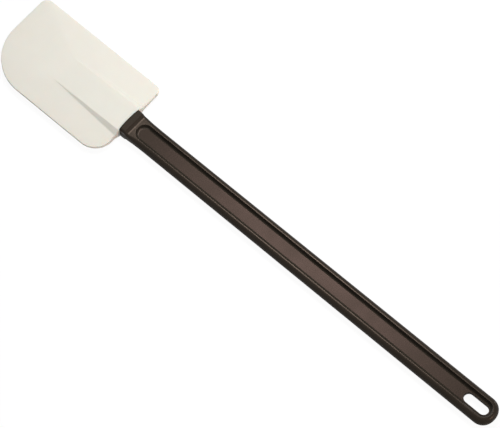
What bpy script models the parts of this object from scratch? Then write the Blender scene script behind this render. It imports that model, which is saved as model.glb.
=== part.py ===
"""Rubber spatula: an off-white rubber blade moulded over the tang of a dark nylon handle.

Lengths are in metres. Each piece is modelled with x from the blade's front edge to the handle's
round end, y across, and z from the mid-plane that the two like faces share. An empty then stands
the part on its collar, with the middle of its length and width over the origin.
"""

from math import acos, copysign, cos, hypot, pi, radians, sin, sqrt, tan

import bmesh
import bpy

# Overall
BLADE_LENGTH = 0.1128
HANDLE_LENGTH = 0.3383  # from the collar's front to the round end
COLLAR_BITE = 0.0010  # how far the collar's front lies ahead of the blade's rear edge
CLEARANCE = 0.0003

# Blade
BLADE_WIDTH = 0.0688
EDGE_THICKNESS = 0.0020
HUB_THICKNESS = 0.0054  # where the bevelled faces end and the tongue begins
FRONT_BEVEL = 0.0490  # from the front edge to the tongue's toe
TIP_CORNER_RADIUS = 0.0060
BOWL_CORNER_RADIUS = 0.0350
REAR_CORNER_RADIUS = 0.0054
REAR_BOWL_CORNER_RADIUS = 0.0150
TONGUE_LIP = 0.0007  # how far the tongue is wider than the collar, on each side
TONGUE_STEP = 0.0008  # how far its top lies below the collar's face
TONGUE_FLANK_SLOPE = radians(34.5)

# Collar and handle
COLLAR_LENGTH = 0.0051
COLLAR_WIDTH = 0.0206
COLLAR_THICKNESS = 0.0120
COLLAR_EDGE_RADIUS = 0.0020
COLLAR_FRONT_RADIUS = 0.0005
COLLAR_BOW = 0.0006  # how far the front face falls back at its sides
SHOULDER_LENGTH = 0.0036  # over which the collar fades into the handle
HANDLE_FRONT_WIDTH = 0.0204
HANDLE_END_WIDTH = 0.0214
HANDLE_THICKNESS = 0.0084
FLANK_SQUARENESS = 2.2  # 2 is an ellipse, more is squarer
END_SQUARENESS = 2.15

# Sunk panel and hanging slot
RECESS_SETBACK = 0.00065  # from the shoulder's end to the recess
RECESS_WIDTH = 0.0130  # between the crests of its walls
WALL_RUN = 0.00145  # how far each wall leans in
LAND_WIDTH = 0.00035  # flat strip on the crest, before its rounding
CREST_RADIUS = 0.00035
FOOT_RADIUS = 0.0010
WEB_THICKNESS = 0.0032
END_RIM = 0.00365  # from the recess to the handle's round end
SLOT_LENGTH = 0.0204
SLOT_WIDTH = 0.0078

# Tang inside the blade
TANG_LENGTH = 0.0600
TANG_WIDTH = 0.0140
RUBBER_COVER = 0.0014  # rubber over each face of the tang
KEY_HOLE_DIAMETER = 0.0055
KEY_HOLES = 3

# Mesh
ARC_STEPS = 16  # half turns of the recess, the slot, the tang and the handle's end
CORNER_STEPS = 10
FLANK_STEPS = 8
ROUNDING_STEPS = 3
SHOULDER_STEPS = 7
BOW_STEPS = 12
WELD = 0.000001
SHARP_ANGLE = radians(32)

# Places along x and half sizes that follow from the values above
COLLAR_FRONT = BLADE_LENGTH - COLLAR_BITE
OVERALL_LENGTH = COLLAR_FRONT + HANDLE_LENGTH
BAND_END = COLLAR_FRONT + COLLAR_LENGTH
SHOULDER_END = BAND_END + SHOULDER_LENGTH
CREST_HALF_WIDTH = RECESS_WIDTH / 2
LAND_HALF_WIDTH = CREST_HALF_WIDTH + LAND_WIDTH
RECESS_CENTRE = SHOULDER_END + RECESS_SETBACK + CREST_HALF_WIDTH
END_RADIUS = END_RIM + CREST_HALF_WIDTH
END_CENTRE = OVERALL_LENGTH - END_RADIUS
TANG_FRONT = COLLAR_FRONT - TANG_LENGTH
TANG_ROOT = (BLADE_LENGTH + BAND_END) / 2

BLADE_HALF_WIDTH = BLADE_WIDTH / 2
TONGUE_HALF_WIDTH = COLLAR_WIDTH / 2 + TONGUE_LIP
BEVEL_RISE = (HUB_THICKNESS - EDGE_THICKNESS) / 2
BEVEL_SLOPE = BEVEL_RISE / (BLADE_HALF_WIDTH - TONGUE_HALF_WIDTH)
TONGUE_RISE = (COLLAR_THICKNESS - HUB_THICKNESS) / 2 - TONGUE_STEP
TONGUE_SLOPE = TONGUE_RISE / (COLLAR_FRONT - FRONT_BEVEL)


def clear_scene():
    for existing in list(bpy.data.objects):
        bpy.data.objects.remove(existing, do_unlink=True)


def make_material(name, colour, roughness):
    material = bpy.data.materials.new(name)
    material.use_nodes = True
    shader = material.node_tree.nodes["Principled BSDF"]
    shader.inputs["Base Color"].default_value = (*colour, 1.0)
    shader.inputs["Roughness"].default_value = roughness
    shader.inputs["Metallic"].default_value = 0.0
    return material


def mix(start, end, share):
    return start + (end - start) * share


def angles(start, end, steps):
    return [mix(start, end, i / steps) for i in range(steps + 1)]


def power(value, exponent):
    """The value's size raised to a power, with its sign kept."""
    return copysign(abs(value) ** exponent, value)


def circle_arc(centre, radius, start, end, steps):
    x, y = centre
    return [(x + radius * cos(a), y + radius * sin(a)) for a in angles(start, end, steps)]


def stadium(front, rear, half_width):
    """Plan of two half circles about x = front and x = rear, joined by straight sides."""
    front_arc = circle_arc((front, 0), half_width, pi / 2, 3 * pi / 2, ARC_STEPS)
    rear_arc = circle_arc((rear, 0), half_width, -pi / 2, pi / 2, ARC_STEPS)
    return front_arc + rear_arc


def fillet(before, corner, after, radius):
    """Arc that rounds a corner of a line in two dimensions, limited by its two legs."""
    legs = [(point[0] - corner[0], point[1] - corner[1]) for point in (before, after)]
    lengths = [hypot(*leg) for leg in legs]
    (ux, uy), (vx, vy) = [(leg[0] / size, leg[1] / size) for leg, size in zip(legs, lengths)]
    turn = pi - acos(ux * vx + uy * vy)
    reach = min(radius * tan(turn / 2), 0.45 * min(lengths))
    true_radius = reach / tan(turn / 2)
    start = (corner[0] + ux * reach, corner[1] + uy * reach)
    end = (corner[0] + vx * reach, corner[1] + vy * reach)
    middle_x, middle_y = ux + vx, uy + vy
    to_centre = hypot(reach, true_radius) / hypot(middle_x, middle_y)
    centre = (corner[0] + middle_x * to_centre, corner[1] + middle_y * to_centre)
    points = []
    for share in angles(0, 1, ROUNDING_STEPS):
        chord = (mix(start[0], end[0], share) - centre[0], mix(start[1], end[1], share) - centre[1])
        scale = true_radius / hypot(*chord)
        points.append((centre[0] + chord[0] * scale, centre[1] + chord[1] * scale))
    return points


def strips(rows, closed=False):
    """Four-sided faces between each row of points and the next."""
    faces = []
    for near, far in zip(rows, rows[1:]):
        last = len(near) if closed else len(near) - 1
        for i in range(last):
            j = (i + 1) % len(near)
            faces.append([near[i], near[j], far[j], far[i]])
    return faces


def solid_about_midplane(name, sheet):
    """Closes a sheet of faces with its mirror image below the mid-plane and upright sides."""
    body = bmesh.new()
    for face in sheet:
        body.faces.new([body.verts.new(point) for point in face])
    bmesh.ops.remove_doubles(body, verts=body.verts, dist=WELD)
    body.verts.index_update()
    upper = list(body.verts)
    rim = [[vert.index for vert in edge.verts] for edge in body.edges if edge.is_boundary]
    upper_faces = [[vert.index for vert in face.verts] for face in body.faces]
    lower = [body.verts.new((vert.co.x, vert.co.y, -vert.co.z)) for vert in upper]
    for face in upper_faces:
        body.faces.new([lower[i] for i in reversed(face)])
    for i, j in rim:
        body.faces.new([upper[i], upper[j], lower[j], lower[i]])
    bmesh.ops.remove_doubles(body, verts=body.verts, dist=WELD)
    bmesh.ops.recalc_face_normals(body, faces=body.faces)
    mesh = bpy.data.meshes.new(name)
    body.to_mesh(mesh)
    body.free()
    made = bpy.data.objects.new(name, mesh)
    bpy.context.collection.objects.link(made)
    return made


def plate(name, outline, half_thickness):
    """Upright prism of a plan, whose half thickness is a function of x."""
    return solid_about_midplane(name, [[(x, y, half_thickness(x)) for x, y in outline]])


def as_tool(shape):
    shape.hide_render = True
    shape.display_type = "WIRE"
    return shape


def through_cutter(name, outline):
    """Upright cutter that stands out past both faces of the thickest piece."""
    return as_tool(plate(name, outline, lambda x: COLLAR_THICKNESS))


def combine(target, operation, tool):
    modifier = target.modifiers.new(tool.name, "BOOLEAN")
    modifier.operation = operation
    modifier.solver = "EXACT"
    modifier.object = tool


def collar_bow(y):
    return COLLAR_BOW * (y / (COLLAR_WIDTH / 2)) ** 2


def neck_row(x, inset):
    """Upper half of the section at x, from the +Y side over the top to the -Y side."""
    fade = (1 - max(0.0, x - BAND_END) / SHOULDER_LENGTH) ** 3
    half_width = mix(HANDLE_FRONT_WIDTH, COLLAR_WIDTH, fade) / 2 - inset
    half_height = mix(HANDLE_THICKNESS, COLLAR_THICKNESS, fade) / 2 - inset
    land = mix(LAND_HALF_WIDTH, COLLAR_WIDTH / 2 - COLLAR_EDGE_RADIUS, fade)
    rounding = mix(HANDLE_THICKNESS / 2, COLLAR_EDGE_RADIUS, fade) - inset
    exponent = 2 / mix(FLANK_SQUARENESS, 2, fade)
    flank = []
    for angle in angles(0, pi / 2, FLANK_STEPS):
        y = land + (half_width - land) * cos(angle) ** exponent
        z = half_height - rounding + rounding * sin(angle) ** exponent
        flank.append((y, z))
    top = [(land * cos(angle), half_height) for angle in angles(0, pi, ARC_STEPS)[1:-1]]
    far_flank = [(-y, z) for y, z in reversed(flank)]
    bow = 1 - min(1.0, (x - COLLAR_FRONT) / COLLAR_LENGTH)
    return [(x + bow * collar_bow(y), y, z) for y, z in flank + top + far_flank]


def neck_faces():
    """Collar band with its rounded front edge, and the shoulder that fades into the handle."""
    rows = []
    for angle in angles(0, pi / 2, ROUNDING_STEPS):
        inset = COLLAR_FRONT_RADIUS * (1 - sin(angle))
        rows.append(neck_row(COLLAR_FRONT + COLLAR_FRONT_RADIUS * (1 - cos(angle)), inset))
    for share in angles(0, 1, SHOULDER_STEPS):
        rows.append(neck_row(BAND_END + SHOULDER_LENGTH * share**1.5, 0.0))
    return strips(rows)


def flank_row(angle):
    """Line at one height along both sides of the handle and round its end."""
    outward = cos(angle) ** (2 / FLANK_SQUARENESS)
    height = HANDLE_THICKNESS / 2 * sin(angle) ** (2 / FLANK_SQUARENESS)
    front_y = mix(LAND_HALF_WIDTH, HANDLE_FRONT_WIDTH / 2, outward)
    row = [(SHOULDER_END, -front_y, height)]
    for turn in angles(0, pi, ARC_STEPS):
        inner_x = END_CENTRE + LAND_HALF_WIDTH * sin(turn)
        inner_y = -LAND_HALF_WIDTH * cos(turn)
        outer_x = END_CENTRE + END_RADIUS * abs(sin(turn)) ** (2 / END_SQUARENESS)
        outer_y = -HANDLE_END_WIDTH / 2 * power(cos(turn), 2 / END_SQUARENESS)
        row.append((mix(inner_x, outer_x, outward), mix(inner_y, outer_y, outward), height))
    row.append((SHOULDER_END, front_y, height))
    return row


def recess_faces():
    """Land, rounded crest, leaning wall, filleted foot and floor of the sunk panel."""
    crest_height = HANDLE_THICKNESS / 2
    floor_height = WEB_THICKNESS / 2
    outer = (LAND_HALF_WIDTH, crest_height)
    crest = (CREST_HALF_WIDTH, crest_height)
    foot = (CREST_HALF_WIDTH - WALL_RUN, floor_height)
    middle = (0.0, floor_height)
    profile = fillet(outer, crest, foot, CREST_RADIUS) + fillet(crest, foot, middle, FOOT_RADIUS)
    rings = [land_ring()]
    for half_width, height in profile:
        rings.append([(x, y, height) for x, y in stadium(RECESS_CENTRE, END_CENTRE, half_width)])
    return strips(rings, closed=True) + [rings[-1]]


def land_ring():
    """Outer edge of the land, which is straight where the shoulder ends."""
    height = HANDLE_THICKNESS / 2
    front = [(SHOULDER_END, LAND_HALF_WIDTH * cos(a), height) for a in angles(0, pi, ARC_STEPS)]
    rear = circle_arc((END_CENTRE, 0), LAND_HALF_WIDTH, -pi / 2, pi / 2, ARC_STEPS)
    return front + [(x, y, height) for x, y in rear]


def tongue_height(x):
    """Height of the tongue's top, which rises from its toe to just below the collar's face."""
    return HUB_THICKNESS / 2 + TONGUE_SLOPE * (x - FRONT_BEVEL)


def tang_plate(name, margin):
    """The tang, grown all round by a margin. Its faces keep the rubber's cover on them."""
    half_width = TANG_WIDTH / 2 + margin
    centre = (TANG_FRONT + TANG_WIDTH / 2, 0)
    front = circle_arc(centre, half_width, pi / 2, 3 * pi / 2, ARC_STEPS)
    outline = [(TANG_ROOT, half_width)] + front + [(TANG_ROOT, -half_width)]
    return as_tool(plate(name, outline, lambda x: tongue_height(x) - RUBBER_COVER + margin))


def key_cutters(name, margin):
    """Upright pins at the tang's key holes, evenly spaced between its front and the collar."""
    cutters = []
    for i in range(KEY_HOLES):
        x = mix(TANG_FRONT, COLLAR_FRONT, (i + 1) / (KEY_HOLES + 1))
        radius = KEY_HOLE_DIAMETER / 2 - margin
        circle = circle_arc((x, 0), radius, 0, 2 * pi, 2 * ARC_STEPS)[:-1]
        cutters.append(through_cutter(f"{name}_{i + 1}", circle))
    return cutters


def make_handle():
    flanks = [flank_row(angle) for angle in angles(0, pi / 2, FLANK_STEPS)]
    sheet = neck_faces() + strips(flanks) + recess_faces()
    handle = solid_about_midplane("handle", sheet)
    slot_front = END_CENTRE - (SLOT_LENGTH - SLOT_WIDTH)
    combine(handle, "UNION", tang_plate("tang", 0.0))
    slot = through_cutter("slot_cutter", stadium(slot_front, END_CENTRE, SLOT_WIDTH / 2))
    combine(handle, "DIFFERENCE", slot)
    for cutter in key_cutters("key_hole", 0.0):
        combine(handle, "DIFFERENCE", cutter)
    return handle


def front_faces():
    """Bevelled front face and the faces that fan from both corners to the tongue's toe."""
    tip_centre = (TIP_CORNER_RADIUS, BLADE_HALF_WIDTH - TIP_CORNER_RADIUS)
    bowl_centre = (BOWL_CORNER_RADIUS, BOWL_CORNER_RADIUS - BLADE_HALF_WIDTH)
    tip = circle_arc(tip_centre, TIP_CORNER_RADIUS, pi / 2, pi, CORNER_STEPS)
    bowl = circle_arc(bowl_centre, BOWL_CORNER_RADIUS, pi, 3 * pi / 2, 2 * CORNER_STEPS)
    tip_side = [(FRONT_BEVEL, BLADE_HALF_WIDTH)] + tip
    bowl_side = bowl + [(FRONT_BEVEL, -BLADE_HALF_WIDTH)]
    edge = [(x, y, EDGE_THICKNESS / 2) for x, y in tip_side + bowl_side]
    tip_toe = (FRONT_BEVEL, TONGUE_HALF_WIDTH, HUB_THICKNESS / 2)
    bowl_toe = (FRONT_BEVEL, -TONGUE_HALF_WIDTH, HUB_THICKNESS / 2)
    return strips([edge, [tip_toe] * len(tip_side) + [bowl_toe] * len(bowl_side)])


def side_y(x, corner_radius):
    """Half width of the blade at x, inside the rear corner of one side."""
    into_corner = max(0.0, x - (BLADE_LENGTH - corner_radius))
    drop = corner_radius - sqrt(max(0.0, corner_radius**2 - into_corner**2))
    return BLADE_HALF_WIDTH - drop


def rear_row(x):
    """Line across the blade at x: both sides, the feet of the tongue's flanks and its top."""
    flank_slope = tan(TONGUE_FLANK_SLOPE)
    top = tongue_height(x)
    rise = top + flank_slope * TONGUE_HALF_WIDTH
    foot = (rise - EDGE_THICKNESS / 2 - BEVEL_SLOPE * BLADE_HALF_WIDTH) / (flank_slope - BEVEL_SLOPE)

    def on_surface(y):
        bevel = EDGE_THICKNESS / 2 + BEVEL_SLOPE * (BLADE_HALF_WIDTH - abs(y))
        return (x, y, max(bevel, top - flank_slope * max(0.0, abs(y) - TONGUE_HALF_WIDTH)))

    near = side_y(x, REAR_CORNER_RADIUS)
    far = side_y(x, REAR_BOWL_CORNER_RADIUS)
    near_side = [near, min(foot, near), min(TONGUE_HALF_WIDTH, near)]
    far_side = [min(TONGUE_HALF_WIDTH, far), min(foot, far), far]
    return [on_surface(y) for y in near_side] + [on_surface(-y) for y in far_side]


def rear_faces():
    """Bevelled sides and the tongue between them, from its toe to the blade's rear edge."""
    stations = {FRONT_BEVEL}
    for radius in (REAR_CORNER_RADIUS, REAR_BOWL_CORNER_RADIUS):
        for angle in angles(0, pi / 2, CORNER_STEPS):
            stations.add(BLADE_LENGTH - radius + radius * sin(angle))
    return strips([rear_row(x) for x in sorted(stations)])


def collar_notch():
    """Room for the collar between the blade's rear shoulders."""
    half_width = COLLAR_WIDTH / 2 + CLEARANCE
    outline = [(BAND_END, half_width)]
    for y in angles(half_width, -half_width, BOW_STEPS):
        outline.append((COLLAR_FRONT - CLEARANCE + collar_bow(y), y))
    outline.append((BAND_END, -half_width))
    return through_cutter("collar_notch", outline)


def make_blade():
    blade = solid_about_midplane("blade", front_faces() + rear_faces())
    tang_room = tang_plate("tang_room", CLEARANCE)
    for key in key_cutters("rubber_key", CLEARANCE):
        combine(tang_room, "DIFFERENCE", key)
    combine(blade, "DIFFERENCE", tang_room)
    combine(blade, "DIFFERENCE", collar_notch())
    return blade


def finish(piece, material):
    piece.data.materials.append(material)
    piece.data.shade_smooth()
    piece.data.set_sharp_from_angle(angle=SHARP_ANGLE)


def build():
    clear_scene()
    stand = bpy.data.objects.new("stand", None)
    bpy.context.collection.objects.link(stand)
    finish(make_handle(), make_material("dark_nylon", (0.0395, 0.0319, 0.0262), 0.45))
    finish(make_blade(), make_material("off_white_rubber", (0.783, 0.768, 0.679), 0.55))
    for piece in list(bpy.data.objects):
        if piece is not stand:
            piece.parent = stand
    stand.location = (-OVERALL_LENGTH / 2, 0.0, COLLAR_THICKNESS / 2)


build()
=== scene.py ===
"""Looks of the rubber spatula: a finely meshed nylon handle and rubber blade over the CAD solids.

Lengths are in metres. Both pieces are modelled with x from the blade's front edge to the handle's
round end, y across, and z from the mid-plane that the two like faces share, as the solids are.
"""

from math import asin, atan2, copysign, cos, hypot, pi, radians, sin, tan

import bmesh
import bpy
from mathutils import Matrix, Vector


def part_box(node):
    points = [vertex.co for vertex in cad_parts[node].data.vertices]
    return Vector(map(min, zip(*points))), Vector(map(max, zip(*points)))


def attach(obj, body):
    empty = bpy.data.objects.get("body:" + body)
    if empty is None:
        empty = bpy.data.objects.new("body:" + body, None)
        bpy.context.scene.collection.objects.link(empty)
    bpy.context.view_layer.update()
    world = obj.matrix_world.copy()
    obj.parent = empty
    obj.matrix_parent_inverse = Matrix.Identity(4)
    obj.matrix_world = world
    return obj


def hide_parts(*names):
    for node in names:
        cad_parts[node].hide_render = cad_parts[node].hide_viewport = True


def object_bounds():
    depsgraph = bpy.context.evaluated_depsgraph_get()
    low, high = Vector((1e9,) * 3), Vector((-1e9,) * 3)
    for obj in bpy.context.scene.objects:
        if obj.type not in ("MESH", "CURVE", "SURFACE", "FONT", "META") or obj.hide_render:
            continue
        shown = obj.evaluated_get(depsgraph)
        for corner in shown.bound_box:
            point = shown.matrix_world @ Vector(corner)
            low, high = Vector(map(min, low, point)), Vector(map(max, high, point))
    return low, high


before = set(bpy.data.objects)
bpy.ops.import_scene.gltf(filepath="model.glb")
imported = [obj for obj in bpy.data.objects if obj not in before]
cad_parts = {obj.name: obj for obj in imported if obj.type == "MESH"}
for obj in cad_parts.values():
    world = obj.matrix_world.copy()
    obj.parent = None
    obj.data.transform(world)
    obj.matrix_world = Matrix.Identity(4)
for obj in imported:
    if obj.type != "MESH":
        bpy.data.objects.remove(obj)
cad_low, cad_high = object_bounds()
blade_low, blade_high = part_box("blade")
handle_low, handle_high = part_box("handle")

# Sizes taken from the frame
OVERALL_LENGTH = cad_high[0] - cad_low[0]
BLADE_LENGTH = blade_high[0] - blade_low[0]
BLADE_WIDTH = blade_high[1] - blade_low[1]
COLLAR_THICKNESS = handle_high[2] - handle_low[2]
HANDLE_END_WIDTH = handle_high[1] - handle_low[1]
TANG_FRONT = handle_low[0] - cad_low[0]
PART_PLACE = (cad_low[0], 0.0, (cad_low[2] + cad_high[2]) / 2)

# Blade
COLLAR_BITE = 0.0010
EDGE_THICKNESS = 0.0020
HUB_THICKNESS = 0.0054
FRONT_BEVEL = 0.0490
TIP_CORNER_RADIUS = 0.0060
BOWL_CORNER_RADIUS = 0.0350
REAR_CORNER_RADIUS = 0.0054
REAR_BOWL_CORNER_RADIUS = 0.0150
TONGUE_LIP = 0.0007
TONGUE_STEP = 0.0008
TONGUE_FLANK_SLOPE = radians(34.5)
RIM_RADIUS = 0.0005  # rounding of the scraping edges
CREASE_REACH = 0.0006  # how far a fillet reaches along each side of the tongue's creases
FIT = 0.00004  # between the rubber and the nylon

# Collar and handle
COLLAR_LENGTH = 0.0051
COLLAR_WIDTH = 0.0206
COLLAR_EDGE_RADIUS = 0.0020
COLLAR_FRONT_RADIUS = 0.0005
COLLAR_BACK_REACH = 0.00035  # half length of the rounding at the band's rear edge
COLLAR_BOW = 0.0006
SHOULDER_LENGTH = 0.0036
HANDLE_FRONT_WIDTH = 0.0204
HANDLE_THICKNESS = 0.0084
FLANK_SQUARENESS = 2.2
END_SQUARENESS = 2.15
RECESS_SETBACK = 0.00065
RECESS_WIDTH = 0.0130
WALL_RUN = 0.00145
LAND_WIDTH = 0.00035
CREST_REACH = 0.0002
FOOT_REACH = 0.00075
WEB_THICKNESS = 0.0032
END_RIM = 0.00365
SLOT_LENGTH = 0.0204
SLOT_WIDTH = 0.0078
SLOT_EDGE_REACH = 0.0002
FADE_POWER = 3  # of the fade from the collar to the handle, in height and in squareness
RELAX_LENGTH = 0.0200  # over which the collar's squarer sides turn into the handle's round flanks
PANEL_MARGIN = 0.0001  # flat strips that keep the shading of the roundings off the panel
PANEL_STEEPEST = 0.985  # least upright share of a normal on the panels
ROUNDING_STEEPEST = 0.6  # and on the rounding at their front ends
CREST_POLISH = (0.0022, 0.0034)  # heights from the mid-plane between which the rims get glossier
COLLAR_DULLING = (0.0043, 0.0052)  # heights between which the collar gets duller again

# Tang inside the blade
TANG_WIDTH = 0.0140
RUBBER_COVER = 0.0014
KEY_HOLE_DIAMETER = 0.0055
KEY_HOLES = 3

# Mesh
ARC_STEPS = 48
CORNER_STEPS = 18
FLANK_STEPS = 24
ROUNDING_STEPS = 6
BAND_STEPS = 10
SHOULDER_STEPS = 24
CENTRE_COLUMNS = 11
BEVEL_COLUMNS = 6
STATION_SPACING = 0.0016
RELAX_STEPS = 16
FILLET_SHARE = 0.45  # most of a leg that a fillet may take up
WELD = 0.000001

COLLAR_FRONT = BLADE_LENGTH - COLLAR_BITE
BAND_END = COLLAR_FRONT + COLLAR_LENGTH
SHOULDER_END = BAND_END + SHOULDER_LENGTH
CREST_HALF_WIDTH = RECESS_WIDTH / 2
LAND_HALF_WIDTH = CREST_HALF_WIDTH + LAND_WIDTH
RECESS_CENTRE = SHOULDER_END + RECESS_SETBACK + CREST_HALF_WIDTH
END_RADIUS = END_RIM + CREST_HALF_WIDTH
END_CENTRE = OVERALL_LENGTH - END_RADIUS
SLOT_CENTRE = END_CENTRE - (SLOT_LENGTH - SLOT_WIDTH)
TANG_ROOT = (BLADE_LENGTH + BAND_END) / 2

BLADE_HALF_WIDTH = BLADE_WIDTH / 2
TONGUE_HALF_WIDTH = COLLAR_WIDTH / 2 + TONGUE_LIP
NOTCH_HALF_WIDTH = COLLAR_WIDTH / 2 + FIT
BEVEL_RISE = (HUB_THICKNESS - EDGE_THICKNESS) / 2
BEVEL_SLOPE = BEVEL_RISE / (BLADE_HALF_WIDTH - TONGUE_HALF_WIDTH)
FRONT_SLOPE = BEVEL_RISE / FRONT_BEVEL
FLANK_SLOPE = tan(TONGUE_FLANK_SLOPE)
TONGUE_RISE = (COLLAR_THICKNESS - HUB_THICKNESS) / 2 - TONGUE_STEP
TONGUE_SLOPE = TONGUE_RISE / (COLLAR_FRONT - FRONT_BEVEL)
RELAX_SHARE = RELAX_LENGTH / (END_CENTRE - SHOULDER_END)

# Colours, each mottled piece's darkest and lightest
RIM_BROWNS = ((0.016, 0.0135, 0.0105), (0.026, 0.022, 0.017))
# Panel browns are lighter than the rim browns of the same nylon: a painted sheen on the sunk floors.
PANEL_BROWNS_WITH_PAINTED_SHEEN = ((0.023, 0.0200, 0.0148), (0.031, 0.0270, 0.0200))
OFF_WHITES = ((0.775, 0.764, 0.688), (0.800, 0.791, 0.720))
WHITE = (1.0, 1.0, 1.0, 1.0)

# Camera and studio
TARGET = Vector((-0.0013, 0.0039, 0.0060))
CAMERA_AZIMUTH = radians(41.6)
CAMERA_ELEVATION = radians(66)
CAMERA_DISTANCE = 2.2
CAMERA_LENS = 226
CAMERA_REACH = 50.0
FLOOR_HALF_SIZE = 6.0
FLOOR_SEGMENTS = 8
FLOOR_BOUNCE = 0.80  # grey of the floor as it lights the part
FLOOR_SHADOW_GREY = 0.07  # share of the floor as seen that still takes shadows
FLOOR_GLOW = 0.95
WORLD_LIGHT = 0.10
WORLD_WHITE = 1.0  # the world as seen directly
GLOSS_POINT = Vector((0.078, 0.0, 0.0076))  # on the panel, where the softbox mirrors into the camera


# Geometry helpers


def mix(start, end, share):
    return start + (end - start) * share


def mix_points(start, end, share):
    return tuple(mix(a, b, share) for a, b in zip(start, end))


def angles(start, end, steps):
    return [mix(start, end, i / steps) for i in range(steps + 1)]


def power(value, exponent):
    """The value's size raised to a power, with its sign kept."""
    return copysign(abs(value) ** exponent, value)


def circle_arc(centre, radius, start, end, steps):
    x, y = centre
    return [(x + radius * cos(a), y + radius * sin(a)) for a in angles(start, end, steps)]


def side_stations(front, rear):
    """Points along a straight side, at the same shares of its length on every side."""
    return [mix(front, rear, share) for share in angles(0, RELAX_SHARE, RELAX_STEPS)[1:]]


def stadium(front, rear, half_width):
    """Plan of two half circles about x = front and x = rear, joined by straight sides."""
    front_arc = circle_arc((front, 0), half_width, pi / 2, 3 * pi / 2, ARC_STEPS)
    rear_arc = circle_arc((rear, 0), half_width, -pi / 2, pi / 2, ARC_STEPS)
    near_side = [(x, -half_width) for x in side_stations(front, rear)]
    far_side = [(x, half_width) for x in reversed(side_stations(front, rear))]
    return front_arc + near_side + rear_arc + far_side


def fillet(before, corner, after, reach):
    """Arc that rounds a corner of a line and touches both legs at a reach from the corner."""
    corner = Vector(corner)
    back = Vector(before) - corner
    ahead = Vector(after) - corner
    reach = min(reach, FILLET_SHARE * back.length, FILLET_SHARE * ahead.length)
    if reach < WELD:
        return [tuple(corner)] * (ROUNDING_STEPS + 1)
    turn = pi - back.angle(ahead)
    radius = reach / tan(turn / 2)
    inward = (back.normalized() + ahead.normalized()).normalized()
    centre = corner + inward * hypot(reach, radius)
    start = corner + back.normalized() * reach - centre
    side = copysign(1.0, back.cross(ahead))
    first = atan2(start.y, start.x)
    return circle_arc(centre, radius, first, first - side * turn, ROUNDING_STEPS)


def strips(rows, closed=False):
    """Four-sided faces between each row of points and the next."""
    faces = []
    for near, far in zip(rows, rows[1:]):
        last = len(near) if closed else len(near) - 1
        for i in range(last):
            j = (i + 1) % len(near)
            faces.append([near[i], near[j], far[j], far[i]])
    return faces


def solid_about_midplane(name, sheet):
    """Closes a sheet of faces with its mirror image below the mid-plane and upright sides."""
    body = bmesh.new()
    for face in sheet:
        body.faces.new([body.verts.new(point) for point in face])
    bmesh.ops.remove_doubles(body, verts=body.verts, dist=WELD)
    body.verts.index_update()
    upper = list(body.verts)
    rim = [[vert.index for vert in edge.verts] for edge in body.edges if edge.is_boundary]
    upper_faces = [[vert.index for vert in face.verts] for face in body.faces]
    lower = [body.verts.new((vert.co.x, vert.co.y, -vert.co.z)) for vert in upper]
    for face in upper_faces:
        body.faces.new([lower[i] for i in reversed(face)])
    for i, j in rim:
        body.faces.new([upper[i], upper[j], lower[j], lower[i]])
    bmesh.ops.remove_doubles(body, verts=body.verts, dist=WELD)
    bmesh.ops.recalc_face_normals(body, faces=body.faces)
    mesh = bpy.data.meshes.new(name)
    body.to_mesh(mesh)
    body.free()
    made = bpy.data.objects.new(name, mesh)
    bpy.context.collection.objects.link(made)
    made.location = PART_PLACE
    return made


def plate(name, outline, half_thickness):
    """Upright prism of a plan, whose half thickness is a function of x."""
    return solid_about_midplane(name, [[(x, y, half_thickness(x)) for x, y in outline]])


def combine(target, operation, tool):
    """Joins the tool to the target or cuts it out, and removes the tool."""
    modifier = target.modifiers.new(tool.name, "BOOLEAN")
    modifier.operation = operation
    modifier.solver = "EXACT"
    modifier.object = tool
    with bpy.context.temp_override(object=target, active_object=target):
        bpy.ops.object.modifier_apply(modifier=modifier.name)
    bpy.data.objects.remove(tool, do_unlink=True)


# Handle


def collar_bow(y):
    return COLLAR_BOW * (y / (COLLAR_WIDTH / 2)) ** 2


def past_band(x):
    """Distance behind the collar band, eased in so that the band's rear edge is rounded."""
    behind = x - BAND_END
    if behind < -COLLAR_BACK_REACH:
        return 0.0
    if behind > COLLAR_BACK_REACH:
        return behind
    return (behind + COLLAR_BACK_REACH) ** 2 / (4 * COLLAR_BACK_REACH)


def side_point(angle, handle_half_width, boxy, inset=0.0):
    """Place on the rounded side, across and below the top, between the handle's and the collar's."""
    half_width = mix(handle_half_width, COLLAR_WIDTH / 2, boxy) - inset
    land = mix(LAND_HALF_WIDTH, COLLAR_WIDTH / 2 - COLLAR_EDGE_RADIUS, boxy)
    rounding = mix(HANDLE_THICKNESS / 2, COLLAR_EDGE_RADIUS, boxy) - inset
    exponent = 2 / mix(FLANK_SQUARENESS, 2, boxy)
    return land + (half_width - land) * cos(angle) ** exponent, rounding * (1 - sin(angle) ** exponent)


def neck_row(x, inset):
    """Upper half of the section at x, from the +Y side over the top to the -Y side."""
    fade = (1 - past_band(x) / SHOULDER_LENGTH) ** FADE_POWER
    half_height = mix(HANDLE_THICKNESS, COLLAR_THICKNESS, fade) / 2 - inset
    flank = []
    for angle in angles(0, pi / 2, FLANK_STEPS):
        y, drop = side_point(angle, HANDLE_FRONT_WIDTH / 2, 1.0, inset)
        flank.append((y, half_height - drop))
    top = [(LAND_HALF_WIDTH * cos(angle), half_height) for angle in angles(0, pi, ARC_STEPS)]
    far_flank = [(-y, z) for y, z in reversed(flank)]
    bow = 1 - min(1.0, (x - COLLAR_FRONT) / COLLAR_LENGTH)
    return [(x + bow * collar_bow(y), y, z) for y, z in flank + top + far_flank]


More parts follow.
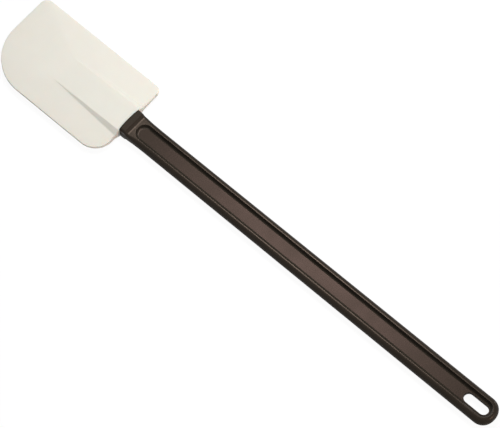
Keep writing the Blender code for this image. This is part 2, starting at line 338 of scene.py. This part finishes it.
def neck_faces():
    """Collar band with its rounded edges, and the shoulder that fades into the handle."""
    rows = []
    for angle in angles(0, pi / 2, ROUNDING_STEPS):
        inset = COLLAR_FRONT_RADIUS * (1 - sin(angle))
        rows.append(neck_row(COLLAR_FRONT + COLLAR_FRONT_RADIUS * (1 - cos(angle)), inset))
    band_start = COLLAR_FRONT + COLLAR_FRONT_RADIUS
    for x in angles(band_start, BAND_END - COLLAR_BACK_REACH, BAND_STEPS)[1:-1]:
        rows.append(neck_row(x, 0.0))
    for x in angles(BAND_END - COLLAR_BACK_REACH, BAND_END + COLLAR_BACK_REACH, ROUNDING_STEPS):
        rows.append(neck_row(x, 0.0))
    for x in angles(BAND_END + COLLAR_BACK_REACH, SHOULDER_END, SHOULDER_STEPS)[1:]:
        rows.append(neck_row(x, 0.0))
    return strips(rows)


def side_line(angle):
    """Line along the handle's side where the collar's squarer section turns into round flanks."""
    line = []
    for share in angles(0, RELAX_SHARE, RELAX_STEPS):
        half_width = mix(HANDLE_FRONT_WIDTH, HANDLE_END_WIDTH, share) / 2
        y, drop = side_point(angle, half_width, (1 - share / RELAX_SHARE) ** FADE_POWER)
        line.append((mix(SHOULDER_END, END_CENTRE, share), y, HANDLE_THICKNESS / 2 - drop))
    return line


def mirrored(line):
    """The line on the -Y side."""
    return [(x, -y, z) for x, y, z in line]


def flank_row(angle):
    """Line along both sides of the handle and round its end."""
    outward = cos(angle) ** (2 / FLANK_SQUARENESS)
    height = HANDLE_THICKNESS / 2 * sin(angle) ** (2 / FLANK_SQUARENESS)
    row = mirrored(side_line(angle))
    for turn in angles(0, pi, ARC_STEPS):
        inner_x = END_CENTRE + LAND_HALF_WIDTH * sin(turn)
        inner_y = -LAND_HALF_WIDTH * cos(turn)
        outer_x = END_CENTRE + END_RADIUS * abs(sin(turn)) ** (2 / END_SQUARENESS)
        outer_y = -HANDLE_END_WIDTH / 2 * power(cos(turn), 2 / END_SQUARENESS)
        row.append((mix(inner_x, outer_x, outward), mix(inner_y, outer_y, outward), height))
    return row + side_line(angle)[::-1]


def land_faces():
    """Flat strips beside the land where the sides are squarer."""
    outer = side_line(pi / 2)
    inner = [(x, LAND_HALF_WIDTH, z) for x, y, z in outer]
    return strips([outer, inner]) + strips([mirrored(outer), mirrored(inner)])


def land_ring():
    """Outer edge of the land, which is straight where the shoulder ends."""
    height = HANDLE_THICKNESS / 2
    plan = [(SHOULDER_END, LAND_HALF_WIDTH * cos(a)) for a in angles(0, pi, ARC_STEPS)]
    plan += stadium(SHOULDER_END, END_CENTRE, LAND_HALF_WIDTH)[ARC_STEPS + 1:]
    return [(x, y, height) for x, y in plan]


def recess_rings():
    """Crest, wall and foot of the sunk panel, then the rounded edge and wall of the slot."""
    crest_height = HANDLE_THICKNESS / 2
    floor_height = WEB_THICKNESS / 2
    outer = (LAND_HALF_WIDTH, crest_height)
    crest = (CREST_HALF_WIDTH, crest_height)
    foot = (CREST_HALF_WIDTH - WALL_RUN, floor_height)
    slot_edge = (SLOT_WIDTH / 2, floor_height)
    slot_middle = (SLOT_WIDTH / 2, 0.0)
    middle = (0.0, floor_height)
    recess = fillet(outer, crest, foot, CREST_REACH) + fillet(crest, foot, middle, FOOT_REACH)
    slot = fillet(foot, slot_edge, slot_middle, SLOT_EDGE_REACH) + [slot_middle]
    recess.append((recess[-1][0] - PANEL_MARGIN, floor_height))
    slot.insert(0, (slot[0][0] + PANEL_MARGIN, floor_height))
    rings = [land_ring()]
    for front, profile in ((RECESS_CENTRE, recess), (SLOT_CENTRE, slot)):
        for half_width, height in profile:
            rings.append([(x, y, height) for x, y in stadium(front, END_CENTRE, half_width)])
    return rings


def tongue_height(x):
    """Height of the tongue's top, which rises from its toe to just below the collar's face."""
    return HUB_THICKNESS / 2 + TONGUE_SLOPE * (x - FRONT_BEVEL)


def tang_plate(name, margin):
    """The tang, grown all round by a margin."""
    half_width = TANG_WIDTH / 2 + margin
    centre = (TANG_FRONT + TANG_WIDTH / 2, 0)
    front = circle_arc(centre, half_width, pi / 2, 3 * pi / 2, ARC_STEPS)
    outline = [(TANG_ROOT, half_width)] + front + [(TANG_ROOT, -half_width)]
    return plate(name, outline, lambda x: tongue_height(x) - RUBBER_COVER + margin)


def key_pin(i, margin):
    """Upright pin at one of the tang's key holes."""
    x = mix(TANG_FRONT, COLLAR_FRONT, (i + 1) / (KEY_HOLES + 1))
    circle = circle_arc((x, 0), KEY_HOLE_DIAMETER / 2 - margin, 0, 2 * pi, ARC_STEPS)[:-1]
    return plate("key_pin", circle, lambda x: COLLAR_THICKNESS)


def make_handle():
    flanks = [flank_row(angle) for angle in angles(0, pi / 2, FLANK_STEPS)]
    sheet = neck_faces() + strips(flanks) + land_faces() + strips(recess_rings(), closed=True)
    handle = solid_about_midplane("nylon_handle", sheet)
    combine(handle, "UNION", tang_plate("tang", 0.0))
    for i in range(KEY_HOLES):
        combine(handle, "DIFFERENCE", key_pin(i, 0.0))
    return handle


# Blade


def front_outline():
    """Outline ahead of the tongue's toe, set in by the rim's radius, with outward normals."""
    tip_centre = (TIP_CORNER_RADIUS, BLADE_HALF_WIDTH - TIP_CORNER_RADIUS)
    bowl_centre = (BOWL_CORNER_RADIUS, BOWL_CORNER_RADIUS - BLADE_HALF_WIDTH)
    side_y = BLADE_HALF_WIDTH - RIM_RADIUS
    tip_side = [((x, side_y), pi / 2) for x in angles(FRONT_BEVEL, tip_centre[0], CORNER_STEPS)]
    tip_side += corner(tip_centre, TIP_CORNER_RADIUS, pi / 2, pi)[1:]
    bowl_side = corner(bowl_centre, BOWL_CORNER_RADIUS, pi, 3 * pi / 2, 2)
    for x in angles(BOWL_CORNER_RADIUS, FRONT_BEVEL, CORNER_STEPS // 2)[1:]:
        bowl_side.append(((x, -side_y), 3 * pi / 2))
    edge = []
    for share in angles(0, 1, CENTRE_COLUMNS + 1)[1:-1]:
        edge.append((mix_points(tip_side[-1][0], bowl_side[0][0], share), pi))
    return tip_side, edge, bowl_side


def corner(centre, radius, start, end, detail=1):
    """Points and normals round a corner of the outline, set in by the rim's radius."""
    turns = angles(start, end, CORNER_STEPS * detail)
    points = circle_arc(centre, radius - RIM_RADIUS, start, end, CORNER_STEPS * detail)
    return list(zip(points, turns))


def rim_height(normal):
    """Height of the bevelled faces where the rim's rounding begins."""
    slope = BEVEL_SLOPE * abs(sin(normal)) + FRONT_SLOPE * abs(cos(normal))
    return EDGE_THICKNESS / 2 + slope * RIM_RADIUS


def centre_ys():
    return angles(NOTCH_HALF_WIDTH, -NOTCH_HALF_WIDTH, CENTRE_COLUMNS - 1)


def front_faces(outline):
    """Bevelled front face and the faces that fan from both corners to the tongue's toe."""
    tip_side, edge, bowl_side = outline
    hub = HUB_THICKNESS / 2
    toes = [(FRONT_BEVEL, TONGUE_HALF_WIDTH, hub)] * len(tip_side)
    toes += [(FRONT_BEVEL, y, hub) for y in centre_ys()]
    toes += [(FRONT_BEVEL, -TONGUE_HALF_WIDTH, hub)] * len(bowl_side)
    rim = [(*point, rim_height(normal)) for point, normal in tip_side + edge + bowl_side]
    rows = []
    for share in angles(0, 1, BEVEL_COLUMNS):
        rows.append([mix_points(near, toe, share) for near, toe in zip(rim, toes)])
    return strips(rows)


def rear_side(x, corner_radius):
    """Where the rim's rounding begins at x on one side, and the outline's normal there."""
    radius = corner_radius - RIM_RADIUS
    into_corner = max(0.0, x - (BLADE_LENGTH - corner_radius))
    turn = asin(min(1.0, into_corner / radius))
    return BLADE_HALF_WIDTH - corner_radius + radius * cos(turn), turn


def side_row(x, side_y):
    """Half of the section at x from the rim to the notch for the collar, as y and height."""
    top = tongue_height(x)
    edge = EDGE_THICKNESS / 2
    rise = top + FLANK_SLOPE * TONGUE_HALF_WIDTH
    foot_y = (rise - edge - BEVEL_SLOPE * BLADE_HALF_WIDTH) / (FLANK_SLOPE - BEVEL_SLOPE)
    side = (side_y, edge + BEVEL_SLOPE * (BLADE_HALF_WIDTH - side_y))
    foot = (foot_y, edge + BEVEL_SLOPE * (BLADE_HALF_WIDTH - foot_y))
    crease = (TONGUE_HALF_WIDTH, top)
    notch = (NOTCH_HALF_WIDTH, top)
    lower = fillet(side, foot, crease, CREASE_REACH)
    upper = fillet(foot, crease, notch, CREASE_REACH)
    bevel = [mix_points(side, lower[0], share) for share in angles(0, 1, BEVEL_COLUMNS)[:-1]]
    return bevel + lower + upper + [notch]


def stations():
    """Places along x for the rows behind the toe, which include every corner point."""
    last = BLADE_LENGTH - RIM_RADIUS
    count = round((COLLAR_FRONT - FRONT_BEVEL) / STATION_SPACING)
    found = set(angles(FRONT_BEVEL, COLLAR_FRONT - STATION_SPACING, count))
    found.add(COLLAR_FRONT - FIT + collar_bow(NOTCH_HALF_WIDTH))
    for corner_radius in (REAR_CORNER_RADIUS, REAR_BOWL_CORNER_RADIUS):
        for turn in angles(0, pi / 2, CORNER_STEPS)[:-1]:
            found.add(BLADE_LENGTH - corner_radius + (corner_radius - RIM_RADIUS) * sin(turn))
    return sorted(found) + [last]


def rear_faces(xs):
    """Bevelled sides, the tongue between them, and its end along the collar's bowed front."""
    faces = []
    for side, corner_radius in ((1, REAR_CORNER_RADIUS), (-1, REAR_BOWL_CORNER_RADIUS)):
        rows = []
        for x in xs:
            row = side_row(x, rear_side(x, corner_radius)[0])
            rows.append([(x, side * y, z) for y, z in row])
        faces += strips(rows)
    notch_end = COLLAR_FRONT - FIT + collar_bow(NOTCH_HALF_WIDTH)
    rows = []
    for x in xs:
        if x > notch_end + WELD:
            break
        reached = [min(x, COLLAR_FRONT - FIT + collar_bow(y)) for y in centre_ys()]
        rows.append([(at, y, tongue_height(at)) for at, y in zip(reached, centre_ys())])
    return faces + strips(rows)


def rim_faces(outline, xs):
    """Rounded rim all round the blade, from one side of the notch to the other."""
    tip_side, edge, bowl_side = outline
    last = xs[-1]
    near_end = side_row(last, rear_side(last, REAR_CORNER_RADIUS)[0])
    far_end = side_row(last, rear_side(last, REAR_BOWL_CORNER_RADIUS)[0])
    chain = [((last, y, z), 0.0) for y, z in reversed(near_end)]
    for x in reversed(xs[1:-1]):
        side_y, turn = rear_side(x, REAR_CORNER_RADIUS)
        chain.append(((x, side_y, side_row(x, side_y)[0][1]), pi / 2 - turn))
    chain += [((*point, rim_height(normal)), normal) for point, normal in tip_side + edge + bowl_side]
    for x in xs[1:-1]:
        side_y, turn = rear_side(x, REAR_BOWL_CORNER_RADIUS)
        chain.append(((x, -side_y, side_row(x, side_y)[0][1]), turn - pi / 2))
    chain += [((last, -y, z), 0.0) for y, z in far_end]
    rings = []
    for angle in angles(pi / 2, 0, ROUNDING_STEPS):
        ring = []
        for (x, y, z), normal in chain:
            out = RIM_RADIUS * cos(angle)
            drop = RIM_RADIUS * (1 - sin(angle))
            ring.append((x + out * cos(normal), y + out * sin(normal), z - drop))
        rings.append(ring)
    return strips(rings)


def make_blade():
    outline = front_outline()
    xs = stations()
    sheet = front_faces(outline) + rear_faces(xs) + rim_faces(outline, xs)
    blade = solid_about_midplane("rubber_blade", sheet)
    room = tang_plate("tang_room", FIT)
    for i in range(KEY_HOLES):
        combine(room, "DIFFERENCE", key_pin(i, FIT))
    combine(blade, "DIFFERENCE", room)
    return blade


# Materials


def new_material(name):
    material = bpy.data.materials.new(name)
    material.use_nodes = True
    tree = material.node_tree
    return material, tree, tree.nodes["Principled BSDF"]


def place(tree, kind, **settings):
    """Adds a node and sets its inputs, where an underscore stands for a space in their names."""
    node = tree.nodes.new(kind)
    for name, value in settings.items():
        node.inputs[name.replace("_", " ")].default_value = value
    return node


def object_noise(tree, scale, detail=3.0, roughness=0.55):
    """Noise fixed to the piece, with about so many lumps to the metre."""
    coordinates = tree.nodes.new("ShaderNodeTexCoord")
    noise = place(tree, "ShaderNodeTexNoise", Scale=scale, Detail=detail, Roughness=roughness)
    tree.links.new(coordinates.outputs["Object"], noise.inputs["Vector"])
    return noise.outputs["Fac"]


def between(tree, factor, low, high, low_at=0.3, high_at=0.7):
    """A number that runs from low to high as the factor runs between two levels."""
    ranged = tree.nodes.new("ShaderNodeMapRange")
    ranged.inputs["From Min"].default_value = low_at
    ranged.inputs["From Max"].default_value = high_at
    ranged.inputs["To Min"].default_value = low
    ranged.inputs["To Max"].default_value = high
    tree.links.new(factor, ranged.inputs["Value"])
    return ranged.outputs["Result"]


def between_colours(tree, factor, colours):
    """A colour that runs between two as the factor does."""
    low, high = colours
    mixed = tree.nodes.new("ShaderNodeMix")
    mixed.data_type = "RGBA"
    mixed.inputs["A"].default_value = (*low, 1.0)
    mixed.inputs["B"].default_value = (*high, 1.0)
    tree.links.new(between(tree, factor, 0.0, 1.0), mixed.inputs["Factor"])
    return mixed.outputs["Result"]


def add_bump(tree, shader, layers):
    """Stacks bumps, each a factor with its depth in metres."""
    normal = None
    for factor, depth in layers:
        bump = place(tree, "ShaderNodeBump", Strength=1.0, Distance=depth)
        tree.links.new(factor, bump.inputs["Height"])
        if normal:
            tree.links.new(normal, bump.inputs["Normal"])
        normal = bump.outputs["Normal"]
    tree.links.new(normal, shader.inputs["Normal"])


def calculate(tree, operation, first, second):
    """A sum, product or other step between two factors, each a socket or a number."""
    step = tree.nodes.new("ShaderNodeMath")
    step.operation = operation
    for value, socket in zip((first, second), step.inputs):
        if isinstance(value, bpy.types.NodeSocket):
            tree.links.new(value, socket)
        else:
            socket.default_value = value
    return step.outputs[0]


def height_from_middle(tree):
    """Distance above or below the mid-plane, in metres."""
    coordinates = tree.nodes.new("ShaderNodeTexCoord")
    parts = tree.nodes.new("ShaderNodeSeparateXYZ")
    tree.links.new(coordinates.outputs["Object"], parts.inputs[0])
    return calculate(tree, "ABSOLUTE", parts.outputs["Z"], 0.0)


def nylon(name, browns, shine, tint, grain_scale, grain_depth):
    """Moulded nylon of two mottled browns with a fine grain, and the factor of its flow marks."""
    material, tree, shader = new_material(name)
    shader.inputs["Specular IOR Level"].default_value = shine
    shader.inputs["Specular Tint"].default_value = (*tint, 1.0)
    flow = object_noise(tree, scale=70, detail=4.0)
    speckle = object_noise(tree, scale=2200, detail=2.0)
    grain = object_noise(tree, grain_scale, detail=2.0)
    ripple = object_noise(tree, scale=320)
    mottle = calculate(tree, "MULTIPLY", calculate(tree, "ADD", flow, speckle), 0.5)
    tree.links.new(between_colours(tree, mottle, browns), shader.inputs["Base Color"])
    add_bump(tree, shader, [(grain, grain_depth), (ripple, 0.5 * grain_depth)])
    return material, tree, shader, flow


def nylon_rim():
    """Collar, rims and recess walls: crests polished by handling over duller, darker flanks."""
    material, tree, shader, flow = nylon(
        "nylon_rim", RIM_BROWNS, 0.13, (1.0, 0.75, 0.60), grain_scale=1500, grain_depth=0.000012
    )
    height = height_from_middle(tree)
    rims = between(tree, height, 0.60, 0.28, *CREST_POLISH)
    collar = between(tree, height, 0.0, 0.24, *COLLAR_DULLING)
    marks = between(tree, flow, -0.03, 0.03)
    even = calculate(tree, "ADD", rims, collar)
    tree.links.new(calculate(tree, "ADD", even, marks), shader.inputs["Roughness"])
    return material


def nylon_panel():
    """Floor of the sunk panels, which keeps an even satin face; its lighter browns are a painted
    sheen.
    """
    material, tree, shader, flow = nylon(
        "nylon_panel", PANEL_BROWNS_WITH_PAINTED_SHEEN, 0.074, (1.0, 0.64, 0.56), grain_scale=1100, grain_depth=0.00002
    )
    tree.links.new(between(tree, flow, 0.25, 0.30), shader.inputs["Roughness"])
    return material


def nylon_rounding():
    """Rounding at the panels' front ends, which is smoother than the grained floor beside it; it takes
    the panels' lighter browns, a painted sheen.
    """
    material, tree, shader, flow = nylon(
        "nylon_rounding", PANEL_BROWNS_WITH_PAINTED_SHEEN, 0.37, (1.0, 0.8, 0.7), grain_scale=1100, grain_depth=0.000004
    )
    tree.links.new(between(tree, flow, 0.20, 0.26), shader.inputs["Roughness"])
    return material


def rubber():
    """Off-white rubber: nearly even colour, a soft matte face and a little depth to light."""
    material, tree, shader = new_material("off_white_rubber")
    cloud = object_noise(tree, scale=35)
    grain = object_noise(tree, scale=1800, detail=2.0)
    waves = object_noise(tree, scale=90, detail=2.0)
    tree.links.new(between_colours(tree, cloud, OFF_WHITES), shader.inputs["Base Color"])
    tree.links.new(between(tree, cloud, 0.5, 0.6), shader.inputs["Roughness"])
    shader.inputs["Subsurface Weight"].default_value = 0.4
    shader.inputs["Subsurface Radius"].default_value = (1.0, 0.65, 0.5)
    shader.inputs["Subsurface Scale"].default_value = 0.0025
    add_bump(tree, shader, [(grain, 0.000006), (waves, 0.00003)])
    return material


def finish_and_painted_sheen_of(face):
    """Index of a handle face's material: 0 rims, 1 sunk panels, 2 rounding at their front ends.
    Flatter faces in the recess take lighter browns than its steep walls, a painted sheen.
    """
    x, y, z = face.center
    upright = abs(face.normal.z)
    sunk = abs(z) < WEB_THICKNESS / 2 + FOOT_REACH and abs(y) < CREST_HALF_WIDTH and x > SHOULDER_END
    if not sunk or upright < ROUNDING_STEEPEST:
        return 0
    return 2 if upright < PANEL_STEEPEST and x < RECESS_CENTRE else 1


# Studio


def seen_directly(tree):
    """1 for what the camera sees itself, in a mirror-like face or through glass, else 0."""
    path = tree.nodes.new("ShaderNodeLightPath")
    seen = path.outputs["Is Camera Ray"]
    for name in ("Is Glossy Ray", "Is Transmission Ray"):
        seen = calculate(tree, "MAXIMUM", seen, path.outputs[name])
    return seen


def make_floor():
    """Floor that lights the part like a grey card, and that shows as white with a soft shadow."""
    material, tree, shader = new_material("studio_floor")
    tree.nodes.remove(shader)
    bounce = place(tree, "ShaderNodeBsdfDiffuse", Color=(FLOOR_BOUNCE,) * 3 + (1.0,))
    shown = place(tree, "ShaderNodeBsdfDiffuse", Color=(FLOOR_SHADOW_GREY,) * 3 + (1.0,))
    glow = place(tree, "ShaderNodeEmission", Color=WHITE, Strength=FLOOR_GLOW)
    lit = tree.nodes.new("ShaderNodeAddShader")
    tree.links.new(shown.outputs[0], lit.inputs[0])
    tree.links.new(glow.outputs[0], lit.inputs[1])
    choice = tree.nodes.new("ShaderNodeMixShader")
    tree.links.new(seen_directly(tree), choice.inputs[0])
    tree.links.new(bounce.outputs[0], choice.inputs[1])
    tree.links.new(lit.outputs[0], choice.inputs[2])
    tree.links.new(choice.outputs[0], tree.nodes["Material Output"].inputs["Surface"])
    floor_mesh = bmesh.new()
    bmesh.ops.create_grid(
        floor_mesh, x_segments=FLOOR_SEGMENTS, y_segments=FLOOR_SEGMENTS, size=FLOOR_HALF_SIZE
    )
    mesh = bpy.data.meshes.new("studio_floor")
    floor_mesh.to_mesh(mesh)
    floor_mesh.free()
    floor = bpy.data.objects.new("studio_floor", mesh)
    bpy.context.collection.objects.link(floor)
    floor.data.materials.append(material)


def make_world():
    world = bpy.data.worlds.new("studio")
    world.use_nodes = True
    tree = world.node_tree
    light = tree.nodes["Background"]
    light.inputs["Color"].default_value = WHITE
    light.inputs["Strength"].default_value = WORLD_LIGHT
    backdrop = place(tree, "ShaderNodeBackground", Color=WHITE, Strength=WORLD_WHITE)
    choice = tree.nodes.new("ShaderNodeMixShader")
    tree.links.new(seen_directly(tree), choice.inputs[0])
    tree.links.new(light.outputs[0], choice.inputs[1])
    tree.links.new(backdrop.outputs[0], choice.inputs[2])
    tree.links.new(choice.outputs[0], tree.nodes["World Output"].inputs["Surface"])
    bpy.context.scene.world = world


def picture_up(tilt):
    """Direction that leans from straight up towards the top of the picture."""
    return Vector((-sin(CAMERA_AZIMUTH) * sin(tilt), cos(CAMERA_AZIMUTH) * sin(tilt), cos(tilt)))


def area_light(name, direction, distance, size, power_w, colour, target=TARGET):
    """Rectangular lamp that faces a target from a direction, which has a length of 1."""
    light = bpy.data.lights.new(name, "AREA")
    light.shape = "RECTANGLE"
    light.size, light.size_y = size
    light.energy = power_w
    light.color = colour
    lamp = bpy.data.objects.new(name, light)
    bpy.context.collection.objects.link(lamp)
    lamp.location = target + direction * distance
    lamp.rotation_euler = (-direction).to_track_quat("-Z", "Y").to_euler()


def make_lights():
    """Softbox that the flat faces mirror, strip that the far flanks mirror, and fill from behind."""
    over = picture_up(pi / 2 - CAMERA_ELEVATION)
    low = Vector((0.296, 0.910, 0.292)).normalized()
    behind = Vector((0.85, 0.15, 0.5)).normalized()
    area_light("softbox", over, 0.9, (0.26, 0.26), power_w=6.1, colour=WHITE[:3], target=GLOSS_POINT)
    area_light("low_strip", low, 1.2, (0.4, 0.14), power_w=1.5, colour=(1.0, 0.98, 0.96))
    area_light("fill", behind, 1.5, (0.32, 0.32), power_w=7.4, colour=(1.0, 0.79, 0.71))


def make_camera():
    camera = bpy.data.cameras.new("camera")
    camera.lens = CAMERA_LENS
    camera.clip_end = CAMERA_REACH
    holder = bpy.data.objects.new("camera", camera)
    bpy.context.collection.objects.link(holder)
    across = Vector((sin(CAMERA_AZIMUTH), -cos(CAMERA_AZIMUTH), 0.0))
    away = across * cos(CAMERA_ELEVATION) + Vector((0.0, 0.0, sin(CAMERA_ELEVATION)))
    holder.location = TARGET + away * CAMERA_DISTANCE
    holder.rotation_euler = (-away).to_track_quat("-Z", "Y").to_euler()
    bpy.context.scene.camera = holder


def dress(piece, node):
    piece.data.shade_smooth()
    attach(piece, "root")
    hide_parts(node)


handle = make_handle()
handle.data.materials.append(nylon_rim())
handle.data.materials.append(nylon_panel())
handle.data.materials.append(nylon_rounding())
# Flatter faces in the recess take the lighter panel browns, a painted sheen; steeper ones take the rim
# browns.
for face in handle.data.polygons:
    face.material_index = finish_and_painted_sheen_of(face)
dress(handle, "handle")

blade = make_blade()
blade.data.materials.append(rubber())
dress(blade, "blade")

make_floor()
make_world()
make_lights()
make_camera()
bpy.context.scene.view_settings.view_transform = "Standard"
